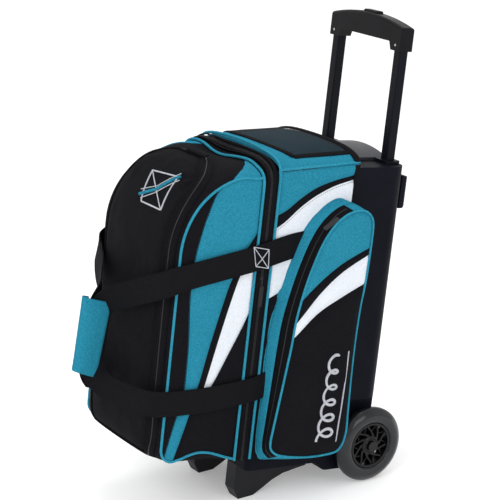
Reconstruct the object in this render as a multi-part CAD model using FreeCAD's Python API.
import FreeCAD, Part
import math
import os

from FreeCAD import Matrix, Placement, Vector

# Two-ball roller bag, in millimetres.
# Everything is drawn in the bag's own frame: z runs up along the handle tubes, y runs from the front
# of the bag to its back with 0 at the wheel axle, and x = 0 is the plane of symmetry.
# At the end the whole bag is leaned back about the axle until its feet stand on the floor.

LEAN = 7.3                    # degrees that the tubes lean back when the bag stands on its feet
WHEEL_RADIUS = 63.5           # a 5 inch wheel
AXLE_Z = WHEEL_RADIUS

# fabric body
BODY_HALF = 117.0             # half the width over the two side walls
WALL = 5.0                    # padded fabric wall
BOARD_Y = -86.0               # front face of the stiff back board
BOARD = 3.9
REAR_SEAM_Y = -232.0          # rear edge of the zipper band
ZIP_Y = -246.5                # line where the lid parts from the rear half
FRONT_SEAM_Y = -261.0         # front edge of the zipper band
FLOOR_TOP = 63.0              # inside floor of the bag
FLOOR_PAD = 5.0
REAR_CROWN = 549.0            # top of the rear half, on the symmetry plane
REAR_SHOULDER = 538.0
BAND_CROWN = 541.0            # top of the zipper band
BAND_SHOULDER = 535.0
CORNER = 20.0                 # radius of the top corners

# lid
LID_ARC_Y = -272.0            # centre of the large front top curve
LID_ARC_Z = 402.0
LID_ARC = 130.0
LID_FRONT_Y = LID_ARC_Y - LID_ARC
SIDE_ARC = 123.0              # the side walls follow the same curve a little inside it
SHOE_POCKET_DEPTH = 16.0

# side pockets
POCKET_FACE_X = 155.0

# trolley
CASE_HALF = 117.0
CASE_FRONT = BOARD_Y + BOARD
CASE_REAR = 18.0
CASE_BOTTOM = 140.0
CASE_TOP = 529.5
CASE_WALL = 3.0
TUBE_X = 83.0                 # handle tubes, from the symmetry plane
TUBE_W, TUBE_D = 17.5, 16.4
TUBE_WALL = 1.5
SOCKET_Z = 711.0              # bottom of the grip's sockets
TUBE_TOP = 733.0
TUBE_BOTTOM = 350.0
GUIDE_GAP = 0.5               # clearance between handle tube and guide tube, each side
GUIDE_WALL = 1.5
GUIDE_BOTTOM = 152.0
GRIP_HALF = 94.0
GRIP_DEPTH = 13.0             # half the grip's thickness

# wheels
HUB_OUTER_X = 137.0
TYRE_WIDTH = 26.0
HUB_RADIUS = 38.0
AXLE_RADIUS = 5.0
RUNNING = 0.05                # radial clearance of a running fit
CARRIAGE_HALF = 104.0

# straps
STRAP_W = 40.0
STRAP_T = 3.0
STRAP_X = 124.5               # middle of the webbing beside the bag
STRAP_HINGE_Y = REAR_SEAM_Y - 4.0
GRIP_LOOP_Y = -462.0          # middle of the hand grip in front of the bag


def box(x0, x1, y0, y1, z0, z1):
    """A block between two corners."""
    return Part.makeBox(x1 - x0, y1 - y0, z1 - z0, Vector(x0, y0, z0))


def rounded(shape, radius, chosen):
    """Rounds the edges for which chosen(edge) is true."""
    return shape.makeFillet(radius, [e for e in shape.Edges if chosen(e)])


def along(axis):
    """A test for straight edges that run along one axis: 0 for x, 1 for y, 2 for z."""
    def test(edge):
        if edge.Curve.TypeId != "Part::GeomLine":
            return False
        direction = edge.Curve.Direction
        return abs(abs(direction[axis]) - 1) < 1e-6
    return test


def side_prism(points, x0, x1):
    """A plate whose outline is given in the y-z plane, from x0 to x1."""
    corners = [Vector(x0, y, z) for y, z in points]
    face = Part.Face(Part.makePolygon(corners + corners[:1]))
    return face.extrude(Vector(x1 - x0, 0, 0))


def front_prism(points, y0, y1):
    """A plate whose outline is given in the x-z plane, from y0 to y1."""
    corners = [Vector(x, y0, z) for x, z in points]
    face = Part.Face(Part.makePolygon(corners + corners[:1]))
    return face.extrude(Vector(0, y1 - y0, 0))


def rod_x(radius, x0, x1, y, z):
    """A cylinder along x."""
    return Part.makeCylinder(radius, x1 - x0, Vector(x0, y, z), Vector(1, 0, 0))


def mirrored(shape):
    """The same piece on the other side of the symmetry plane."""
    return shape.mirror(Vector(0, 0, 0), Vector(1, 0, 0))


def floor_z(y):
    """Height of the floor in the bag's own frame."""
    lean = math.radians(LEAN)
    return AXLE_Z + (math.sin(lean) * y - AXLE_Z) / math.cos(lean)


# ---- the arched outline that the rear half and the zipper band share

def arch_face(inset, crown, shoulder, y, bottom):
    """The area under the arch, inset from its outer line by the wall's thickness."""
    half = BODY_HALF - inset
    corner = CORNER - min(inset, CORNER - 1)
    side_top = Vector(half, y, shoulder - inset - corner)
    top_right = Vector(half - corner, y, shoulder - inset)
    lift = corner * (1 - math.sqrt(0.5))
    middle = Vector(half - lift, y, shoulder - inset - lift)
    edges = [
        Part.LineSegment(Vector(half, y, bottom), side_top),
        Part.Arc(side_top, middle, top_right),
        Part.Arc(top_right, Vector(0, y, crown - inset), Vector(-top_right.x, y, top_right.z)),
        Part.Arc(Vector(-top_right.x, y, top_right.z), Vector(-middle.x, y, middle.z),
                 Vector(-half, y, side_top.z)),
        Part.LineSegment(Vector(-half, y, side_top.z), Vector(-half, y, bottom)),
        Part.LineSegment(Vector(-half, y, bottom), Vector(half, y, bottom)),
    ]
    return Part.Face(Part.Wire([e.toShape() for e in edges]))


def arch_shell(y0, y1, crown, shoulder, thickness, bottom):
    """An arched wall: two sides and a top, open in front, behind and below."""
    depth = Vector(0, y1 - y0, 0)
    outer = arch_face(0, crown, shoulder, y0, bottom).extrude(depth)
    inner = arch_face(thickness, crown, shoulder, y0, bottom - 1).extrude(depth)
    return outer.cut(inner)


def arch_piping(y, crown, shoulder, radius, bottom):
    """A round piping that follows the arch just outside it."""
    face = arch_face(-radius - 0.1, crown, shoulder, y, bottom)
    edges = [e for e in face.OuterWire.Edges if not (e.Curve.TypeId == "Part::GeomLine"
             and abs(e.Vertexes[0].Point.z - e.Vertexes[1].Point.z) < 1e-6)]
    path = Part.Wire(Part.__sortEdges__(edges))
    start = path.OrderedVertexes[0].Point
    ring = Part.Wire(Part.makeCircle(radius, start, Vector(0, 0, 1)))
    return path.makePipeShell([ring], True, True)


# ---- rear half of the bag

def rear_half():
    walls = arch_shell(REAR_SEAM_Y, BOARD_Y, REAR_CROWN, REAR_SHOULDER, WALL, FLOOR_TOP - FLOOR_PAD)
    cut_z = REAR_SHOULDER - CORNER - WALL
    right = walls.common(box(0, 200, -400, 0, 0, cut_z))
    top = walls.common(box(-200, 200, -400, 0, cut_z, 700))
    inner = BODY_HALF - WALL
    return {
        "rear_side_panel_right": right,
        "rear_side_panel_left": mirrored(right),
        "rear_top_panel": top,
        "rear_bottom_panel": box(-inner, inner, ZIP_Y, BOARD_Y, FLOOR_TOP - FLOOR_PAD, FLOOR_TOP),
        "back_board": box(-inner, inner, BOARD_Y, BOARD_Y + BOARD - 0.1, FLOOR_TOP - FLOOR_PAD, 528),
    }


def mesh_pocket():
    """A flat pocket of netting on top of the rear half, with a bound edge."""
    lift = arch_face(-2.0, REAR_CROWN, REAR_SHOULDER, REAR_SEAM_Y + 20, 400)
    under = arch_face(-0.1, REAR_CROWN, REAR_SHOULDER, REAR_SEAM_Y + 19, 399)
    depth = BOARD_Y - REAR_SEAM_Y - 30
    skin = lift.extrude(Vector(0, depth, 0)).cut(under.extrude(Vector(0, depth + 2, 0)))
    return skin.common(box(-90, 90, -400, 0, 400, 700))


def ball_cup():
    """Foam ring on the floor of the main compartment that the lower ball sits in."""
    cup = box(-104, 104, ZIP_Y + 2, BOARD_Y - 1, FLOOR_TOP, FLOOR_TOP + 15)
    ball = Part.makeSphere(109, Vector(0, -198, FLOOR_TOP + 112))
    return cup.cut(ball)


def base_tray():
    """Stiff plastic tray under the rear half that carries the feet."""
    tray = box(-108, 108, -226, CASE_FRONT - 0.1, 34, FLOOR_TOP - FLOOR_PAD)
    return rounded(tray, 10, lambda e: along(2)(e) and e.Vertexes[0].Point.y < -200)


def foot():
    """A leg with a flat sole on the floor and a long rib running back under the tray."""
    sole_front, sole_rear = -212.0, -184.0
    outline = [(-223, 33.9), (-223, -10), (sole_front, floor_z(sole_front)),
               (sole_rear, floor_z(sole_rear)), (-166, -13), (-148, -1), (-128, 8), (-100, 14),
               (-84, 17), (-84, 33.9)]
    return side_prism(outline, 48, 74)


def side_pocket():
    """Padded pocket on the side wall: a soft closed shape, narrower at its face."""
    base = [(-222, 75), (-224, 278), (-205, 345), (-180, 425), (-150, 465), (-116, 480), (-98, 476),
            (-88, 468), (-88, 70), (-104, 52), (-200, 52)]
    face = [(-208, 95), (-196, 297), (-190, 345), (-171, 398), (-148, 434), (-112, 462), (-88, 468),
            (-72, 450), (-74, 111), (-88, 70), (-190, 72)]
    wires = []
    for x, outline in ((BODY_HALF + 0.3, base), (POCKET_FACE_X, face)):
        corners = [Vector(x, y, z) for y, z in outline]
        wires.append(Part.makePolygon(corners + corners[:1]))
    return Part.makeLoft(wires, True, True)


# ---- lid

def lid_outline(radius, thickness, top_y, bottom_z):
    """Side view of the curved front wall, as a closed band of the given thickness."""
    centre = Vector(0, LID_ARC_Y, LID_ARC_Z)

    def on_arc(r, degrees):
        a = math.radians(degrees)
        return centre + Vector(0, -r * math.cos(a), r * math.sin(a))

    inner = radius - thickness
    outer_end = Vector(0, top_y, LID_ARC_Z + radius)
    inner_end = Vector(0, top_y, LID_ARC_Z + inner)
    edges = [
        Part.LineSegment(Vector(0, LID_ARC_Y - radius, bottom_z), on_arc(radius, 0)),
        Part.Arc(on_arc(radius, 0), on_arc(radius, 45), on_arc(radius, 90)),
        Part.LineSegment(on_arc(radius, 90), outer_end),
        Part.LineSegment(outer_end, inner_end),
        Part.LineSegment(inner_end, on_arc(inner, 90)),
        Part.Arc(on_arc(inner, 90), on_arc(inner, 45), on_arc(inner, 0)),
        Part.LineSegment(on_arc(inner, 0), Vector(0, LID_ARC_Y - inner, bottom_z)),
        Part.LineSegment(Vector(0, LID_ARC_Y - inner, bottom_z), Vector(0, LID_ARC_Y - radius, bottom_z)),
    ]
    return Part.Face(Part.Wire([e.toShape() for e in edges]))


def lid_side_panel():
    centre = Vector(BODY_HALF - WALL, LID_ARC_Y, LID_ARC_Z)
    front = LID_ARC_Y - SIDE_ARC
    start = Vector(centre.x, front, LID_ARC_Z)
    middle = centre + Vector(0, -SIDE_ARC * math.sqrt(0.5), SIDE_ARC * math.sqrt(0.5))
    end = centre + Vector(0, 0, SIDE_ARC)
    back = FRONT_SEAM_Y - 2.6
    low = FLOOR_TOP - FLOOR_PAD
    edges = [
        Part.LineSegment(Vector(centre.x, front, low + 6), start),
        Part.Arc(start, middle, end),
        Part.LineSegment(end, Vector(centre.x, back, end.z)),
        Part.LineSegment(Vector(centre.x, back, end.z), Vector(centre.x, back, low)),
        Part.LineSegment(Vector(centre.x, back, low), Vector(centre.x, front + 6, low)),
        Part.LineSegment(Vector(centre.x, front + 6, low), Vector(centre.x, front, low + 6)),
    ]
    face = Part.Face(Part.Wire([e.toShape() for e in edges]))
    return face.extrude(Vector(WALL, 0, 0))


def lid():
    right = lid_side_panel()
    inner = BODY_HALF - WALL - 0.1
    front = lid_outline(LID_ARC, WALL, FRONT_SEAM_Y - 2.6, FLOOR_TOP + 0.1)
    front.translate(Vector(-inner, 0, 0))
    bottom = box(-inner, inner, LID_FRONT_Y, ZIP_Y - 0.4, FLOOR_TOP - FLOOR_PAD, FLOOR_TOP)
    return {
        "lid_side_panel_right": right,
        "lid_side_panel_left": mirrored(right),
        "lid_front_panel": front.extrude(Vector(2 * inner, 0, 0)),
        "lid_bottom_panel": bottom,
    }


def shoe_pocket():
    """Padded pocket over the front of the lid, narrower towards its top."""
    band = lid_outline(LID_ARC + SHOE_POCKET_DEPTH, SHOE_POCKET_DEPTH - 0.3, LID_ARC_Y - 20, FLOOR_TOP + 22)
    band.translate(Vector(-100, 0, 0))
    body = band.extrude(Vector(200, 0, 0))
    body = body.cut(box(-120, 120, LID_ARC_Y - 20, 0, 0, 700))
    outline = [(-100, 80), (-100, 400), (-88, 470), (-52, 560), (52, 560), (88, 470), (100, 400), (100, 80)]
    return body.common(front_prism(outline, -500, 0))


def zipper_band(y0, y1):
    return arch_shell(y0, y1, BAND_CROWN, BAND_SHOULDER, 3.0, FLOOR_TOP)


# ---- sliders and pulls

def slider(x, y, z):
    """Zipper slider: a small wedge with a bridge for its pull."""
    body = rounded(box(x, x + 3.2, y - 5, y + 5, z - 8, z + 8), 1.2, along(0))
    bridge = box(x + 3.1, x + 4.6, y - 1.5, y + 1.5, z - 4.2, z + 3)
    return body.fuse(bridge).removeSplitter()


def pull_tab(x, y, z, length):
    """Pull that hangs from the slider's bridge."""
    tab = box(x + 3.5, x + 5.3, y - 4, y + 4, z - 6 - length, z - 5.6)
    return rounded(tab, 3, along(0))


def on_gusset(shape):
    """Lays a slider or pull on the sloping side of the right side pocket, near its top."""
    along_zip = Vector(0, 0.818, 0.574).normalize()
    across = along_zip.cross(Vector(0.484, -0.503, 0.717)).normalize()
    out = across.cross(along_zip)
    spot = Vector(146, -127, 456.5) + out * 0.8
    shape.Placement = Placement(Matrix(out.x, across.x, along_zip.x, spot.x,
                                       out.y, across.y, along_zip.y, spot.y,
                                       out.z, across.z, along_zip.z, spot.z,
                                       0, 0, 0, 1))
    return shape


# ---- trolley

def rear_edges(edge):
    return along(2)(edge) and edge.Vertexes[0].Point.y > 0


def housing():
    """Moulded casing, open towards the bag, that holds the guide tubes."""
    outer = rounded(box(-CASE_HALF, CASE_HALF, CASE_FRONT, CASE_REAR, CASE_BOTTOM, CASE_TOP), 25, rear_edges)
    inner_half = CASE_HALF - CASE_WALL
    inner = rounded(box(-inner_half, inner_half, CASE_FRONT - 1, CASE_REAR - CASE_WALL,
                        CASE_BOTTOM + CASE_WALL, CASE_TOP - CASE_WALL), 22, rear_edges)
    shell = outer.cut(inner)
    for side in (-1, 1):
        shell = shell.cut(guide_outer(side * TUBE_X, CASE_TOP - 10, CASE_TOP + 1, 0.1))
    return shell


def guide_outer(x, z0, z1, extra):
    half_w = TUBE_W / 2 + GUIDE_GAP + GUIDE_WALL + extra
    half_d = TUBE_D / 2 + GUIDE_GAP + GUIDE_WALL + extra
    return box(x - half_w, x + half_w, -half_d, half_d, z0, z1)


def guide_tube(x):
    half_w = TUBE_W / 2 + GUIDE_GAP
    half_d = TUBE_D / 2 + GUIDE_GAP
    hollow = box(x - half_w, x + half_w, -half_d, half_d, GUIDE_BOTTOM - 1, CASE_TOP + 1)
    return guide_outer(x, GUIDE_BOTTOM, CASE_TOP, 0).cut(hollow)


def collar(x):
    """Guide ring on top of the casing that the handle tube slides through."""
    outer = rounded(box(x - 16, x + 16, -15, 15, CASE_TOP + 0.1, CASE_TOP + 5.5), 5, along(2))
    half_w = TUBE_W / 2 + 0.4
    half_d = TUBE_D / 2 + 0.4
    return outer.cut(box(x - half_w, x + half_w, -half_d, half_d, CASE_TOP - 1, CASE_TOP + 9))


def top_cap():
    """Low domed cover between the two tubes."""
    half = 65.0
    low = CASE_TOP + 0.1
    edges = [
        Part.Arc(Vector(-half, -72, low + 5), Vector(0, -72, low + 15.5), Vector(half, -72, low + 5)),
        Part.LineSegment(Vector(half, -72, low + 5), Vector(half, -72, low)),
        Part.LineSegment(Vector(half, -72, low), Vector(-half, -72, low)),
        Part.LineSegment(Vector(-half, -72, low), Vector(-half, -72, low + 5)),
    ]
    return Part.Face(Part.Wire([e.toShape() for e in edges])).extrude(Vector(0, 84, 0))


def rear_bumper():
    """Raised band across the back of the casing."""
    band = box(-104, 104, CASE_REAR + 0.1, CASE_REAR + 16, 458, 512)
    return rounded(band, 11, lambda e: e.BoundBox.YMin > CASE_REAR + 15)


def wheel_carriage():
    """Block between the wheels that carries the axle."""
    block = box(-CARRIAGE_HALF, CARRIAGE_HALF, CASE_FRONT, 15, 17, CASE_BOTTOM - 0.1)
    block = rounded(block, 18, lambda e: along(0)(e) and e.BoundBox.ZMax < 20)
    return block.cut(rod_x(AXLE_RADIUS + RUNNING, -200, 200, 0, AXLE_Z))


def wheel():
    """Hub with five spokes, and the tyre around it."""
    x0, x1 = HUB_OUTER_X - TYRE_WIDTH, HUB_OUTER_X
    rim = rod_x(HUB_RADIUS, x0 + 3, x1 - 3, 0, AXLE_Z).cut(rod_x(HUB_RADIUS - 5, x0, x1, 0, AXLE_Z))
    core = rod_x(13, x0, x1, 0, AXLE_Z)
    web = rod_x(HUB_RADIUS - 4, x0 + 9, x1 - 9, 0, AXLE_Z)
    windows = 5
    for i in range(windows):
        angle = 360.0 * i / windows
        hole = rod_x(8.0, x0, x1, 23.5, AXLE_Z)
        hole.rotate(Vector(0, 0, AXLE_Z), Vector(1, 0, 0), angle)
        web = web.cut(hole)
    hub = core.fuse(web).fuse(rim).removeSplitter()
    hub = hub.cut(rod_x(AXLE_RADIUS + RUNNING, x0 - 1, x1 + 1, 0, AXLE_Z))
    tyre = rod_x(WHEEL_RADIUS, x0, x1, 0, AXLE_Z)
    tyre = rounded(tyre, 7, lambda e: e.Curve.TypeId == "Part::GeomCircle")
    tyre = tyre.cut(rod_x(HUB_RADIUS, x0 - 1, x1 + 1, 0, AXLE_Z))
    return hub, tyre


def axle_pair(radius, x0, x1):
    """Two equal rings or caps, one at each end of the axle."""
    piece = rod_x(radius, x0, x1, 0, AXLE_Z)
    return piece, mirrored(piece)


def handle_tube(x):
    half_w, half_d = TUBE_W / 2, TUBE_D / 2
    outer = rounded(box(x - half_w, x + half_w, -half_d, half_d, TUBE_BOTTOM, TUBE_TOP), 2.5, along(2))
    inner = box(x - half_w + TUBE_WALL, x + half_w - TUBE_WALL, -half_d + TUBE_WALL, half_d - TUBE_WALL,
                TUBE_BOTTOM - 1, TUBE_TOP + 1)
    pin = Part.makeCylinder(2, 60, Vector(x, -30, SOCKET_Z + 9), Vector(0, 1, 0))
    return outer.cut(inner).cut(pin)


def tube_end_plug():
    """Guide block that closes the lower end of a handle tube."""
    half_w, half_d = TUBE_W / 2 + 0.3, TUBE_D / 2 + 0.3
    return box(TUBE_X - half_w, TUBE_X + half_w, -half_d, half_d, TUBE_BOTTOM - 15, TUBE_BOTTOM)


def grip_body():
    """Moulded handle: two sockets joined by an arched bar, hollow underneath."""
    top_end, top_mid = SOCKET_Z + 38, SOCKET_Z + 50
    under = SOCKET_Z + 13
    edges = [
        Part.Arc(Vector(-GRIP_HALF, -GRIP_DEPTH, top_end), Vector(0, -GRIP_DEPTH, top_mid),
                 Vector(GRIP_HALF, -GRIP_DEPTH, top_end)).toShape(),
    ]
    outline = [(GRIP_HALF, top_end), (GRIP_HALF, SOCKET_Z), (71, SOCKET_Z), (66, under),
               (-66, under), (-71, SOCKET_Z), (-GRIP_HALF, SOCKET_Z), (-GRIP_HALF, top_end)]
    for (xa, za), (xb, zb) in zip(outline, outline[1:]):
        start, end = Vector(xa, -GRIP_DEPTH, za), Vector(xb, -GRIP_DEPTH, zb)
        edges.append(Part.LineSegment(start, end).toShape())
    body = Part.Face(Part.Wire(edges)).extrude(Vector(0, 2 * GRIP_DEPTH, 0))
    body = rounded(body, 5, lambda e: abs(e.BoundBox.YLength) < 1e-6 and e.BoundBox.ZMin > SOCKET_Z + 30)
    body = body.cut(box(-64, 64, -10, 10, under - 1, SOCKET_Z + 36))
    body = body.cut(box(-88, 88, -5, 5, SOCKET_Z + 20, SOCKET_Z + 35))
    body = body.cut(box(-17, 17, -7.5, 7.5, SOCKET_Z + 30, SOCKET_Z + 70))
    for side in (-1, 1):
        x = side * TUBE_X
        half_w, half_d = TUBE_W / 2 + 0.1, TUBE_D / 2 + 0.1
        body = body.cut(box(x - half_w, x + half_w, -half_d, half_d, SOCKET_Z - 1, TUBE_TOP))
        body = body.cut(Part.makeCylinder(2, 60, Vector(x, -30, SOCKET_Z + 9), Vector(0, 1, 0)))
    return body


def grip_cover():
    """Cover that closes the underside of the bar."""
    return box(-63.9, 63.9, -9.9, 9.9, SOCKET_Z + 13, SOCKET_Z + 17)


def release():
    """Button, the bar under it, the two rods that run down the tubes, and the return spring."""
    button = box(-16.6, 16.6, -7.1, 7.1, SOCKET_Z + 31.1, SOCKET_Z + 53.5)
    button = rounded(button, 2.5, lambda e: e.BoundBox.ZMin > SOCKET_Z + 53)
    bar = box(-86, 86, -4, 4, SOCKET_Z + 27, SOCKET_Z + 31)
    rods = {}
    for side, name in ((-1, "left"), (1, "right")):
        start = Vector(side * TUBE_X, 0, TUBE_BOTTOM + 5)
        rods["push_rod_" + name] = Part.makeCylinder(2.5, SOCKET_Z + 27 - start.z, start)
    turn, height = 2.4, 8.4
    coil = Part.makeHelix(turn, height, 4.0)
    section = Part.Wire(Part.makeCircle(0.6, Vector(4, 0, 0), Vector(0, 1, 0)))
    spring = Part.Wire(coil.Edges).makePipeShell([section], True, True)
    spring.translate(Vector(0, 0, SOCKET_Z + 17.7))
    return {"release_button": button, "release_bar": bar, "button_spring": spring, **rods}


# ---- straps

def web_strip(plan, heights):
    """A flat strap standing on edge: a line in plan, and the height of its middle at each point."""
    sections = []
    for i, (point, z) in enumerate(zip(plan, heights)):
        before = plan[max(i - 1, 0)]
        after = plan[min(i + 1, len(plan) - 1)]
        run = Vector(after[0] - before[0], after[1] - before[1], 0).normalize()
        across = Vector(-run.y, run.x, 0) * (STRAP_T / 2)
        centre = Vector(point[0], point[1], z)
        up = Vector(0, 0, STRAP_W / 2)
        corners = [centre - across - up, centre + across - up, centre + across + up, centre - across + up]
        sections.append(Part.makePolygon(corners + corners[:1]))
    return Part.makeLoft(sections, True, True)


def strap_loop():
    """One carrying strap: out along the side, round the front, and back lower down."""
    plan = [(STRAP_X, STRAP_HINGE_Y - 2), (STRAP_X, -395), (117, -416), (98, -428), (3, -448)]
    upper = web_strip(plan, [396, 366, 356, 348, 302])
    lower = web_strip(plan, [184, 167, 162, 158, 182])
    bight = box(1.5, 4.5, GRIP_LOOP_Y - 22, GRIP_LOOP_Y + 20, 166, 318)
    return upper.fuse(lower).fuse(bight).removeSplitter()


def hand_wrap():
    """Padded sleeve round the two straps where the hand holds them, open on one side."""
    outer = rounded(box(-9, 10, GRIP_LOOP_Y - 26, GRIP_LOOP_Y + 24, 182, 302), 4, along(2))
    hollow = box(-10, 4.6, GRIP_LOOP_Y - 23.5, GRIP_LOOP_Y + 21.5, 181, 303)
    wrap = outer.cut(hollow)
    for z0, z1 in ((181, 207), (280, 303)):      # where the strap comes in from the side
        wrap = wrap.cut(box(-10, 11, GRIP_LOOP_Y + 7, GRIP_LOOP_Y + 25, z0, z1))
    return wrap


def strap_anchors():
    """Ends of one strap, sewn to the rear side wall."""
    x0, x1 = BODY_HALF + 0.1, BODY_HALF + 3.1
    upper = box(x0, x1, REAR_SEAM_Y + 3, -203, 376, 416)
    lower = box(x0, x1, REAR_SEAM_Y + 3, -225, 164, 204)
    return Part.makeCompound([upper, lower])


# ---- all pieces

def build():
    pieces = {}
    pieces.update(rear_half())
    pieces.update(lid())
    pieces["mesh_pocket"] = mesh_pocket()
    pieces["ball_cup"] = ball_cup()
    pieces["base_tray"] = base_tray()
    pieces["shoe_pocket"] = shoe_pocket()
    pieces["zipper_tape_rear"] = zipper_band(ZIP_Y + 0.2, REAR_SEAM_Y - 0.1)
    pieces["zipper_tape_front"] = zipper_band(FRONT_SEAM_Y + 2.6, ZIP_Y - 0.2)
    pieces["piping_rear"] = arch_piping(REAR_SEAM_Y, REAR_CROWN, REAR_SHOULDER, 2.5, FLOOR_TOP)
    pieces["piping_front"] = arch_piping(FRONT_SEAM_Y, BAND_CROWN, BAND_SHOULDER, 2.5, FLOOR_TOP)

    pieces["trolley_housing"] = housing()
    pieces["housing_top_cap"] = top_cap()
    pieces["rear_bumper"] = rear_bumper()
    pieces["wheel_carriage"] = wheel_carriage()
    pieces["axle"] = rod_x(AXLE_RADIUS, -HUB_OUTER_X - 0.3, HUB_OUTER_X + 0.3, 0, AXLE_Z)
    spacer, spacer_left = axle_pair(9, CARRIAGE_HALF + 0.1, HUB_OUTER_X - TYRE_WIDTH - 0.3)
    bore = rod_x(AXLE_RADIUS + RUNNING, -200, 200, 0, AXLE_Z)
    pieces["axle_spacers"] = Part.makeCompound([spacer.cut(bore), spacer_left.cut(bore)])
    cap, cap_left = axle_pair(9, HUB_OUTER_X + 0.4, HUB_OUTER_X + 4)
    pieces["axle_caps"] = Part.makeCompound([cap, cap_left])
    pieces["grip_body"] = grip_body()
    pieces["grip_cover"] = grip_cover()
    pieces.update(release())
    pin_y = GRIP_DEPTH + 0.6
    pins = [Part.makeCylinder(2, 2 * pin_y, Vector(side * TUBE_X, -pin_y, SOCKET_Z + 9), Vector(0, 1, 0))
            for side in (-1, 1)]
    # the rods pass through the middle of the tubes, so each pin is a pair of short rivets
    gap = box(-200, 200, -TUBE_D / 2 + TUBE_WALL, TUBE_D / 2 - TUBE_WALL, SOCKET_Z, SOCKET_Z + 20)
    pieces["grip_rivets"] = Part.makeCompound([pin.cut(gap) for pin in pins])

    hub, tyre = wheel()
    on_right = {
        "foot": foot(),
        "side_pocket": side_pocket(),
        "hub": hub,
        "tyre": tyre,
        "guide_tube": guide_tube(TUBE_X),
        "tube_collar": collar(TUBE_X),
        "handle_tube": handle_tube(TUBE_X),
        "strap_loop": strap_loop(),
        "main_slider": slider(BODY_HALF + 0.2, ZIP_Y, 352),
        "main_pull": pull_tab(BODY_HALF + 0.2, ZIP_Y, 352, 34),
        "side_pocket_slider": on_gusset(slider(0, 0, 0)),
        "side_pocket_pull": on_gusset(pull_tab(0, 0, 0, 30)),
    }
    for name, shape in on_right.items():
        pieces[name + "_right"] = shape
        pieces[name + "_left"] = mirrored(shape)
    pieces["hand_wrap"] = hand_wrap()
    plug, anchors = tube_end_plug(), strap_anchors()
    pieces["tube_end_plugs"] = Part.makeCompound([plug, mirrored(plug)])
    pieces["strap_anchors"] = Part.makeCompound([anchors, mirrored(anchors)])
    return pieces


def place(pieces):
    """Leans the bag back onto its feet and centres it over the origin."""
    for shape in pieces.values():
        shape.rotate(Vector(0, 0, AXLE_Z), Vector(1, 0, 0), -LEAN)
    boxes = [shape.optimalBoundingBox() for shape in pieces.values()]
    middle = (min(b.YMin for b in boxes) + max(b.YMax for b in boxes)) / 2
    for shape in pieces.values():
        shape.translate(Vector(0, -middle, 0))
    return middle


pieces = build()
middle = place(pieces)
os.makedirs("parts", exist_ok=True)
for name, shape in pieces.items():
    shape.exportStep(f"parts/{name}.step")
    if not shape.isValid():
        print("not valid:", name)
print(len(pieces), "nodes; the axle is at y =", round(-middle, 3))
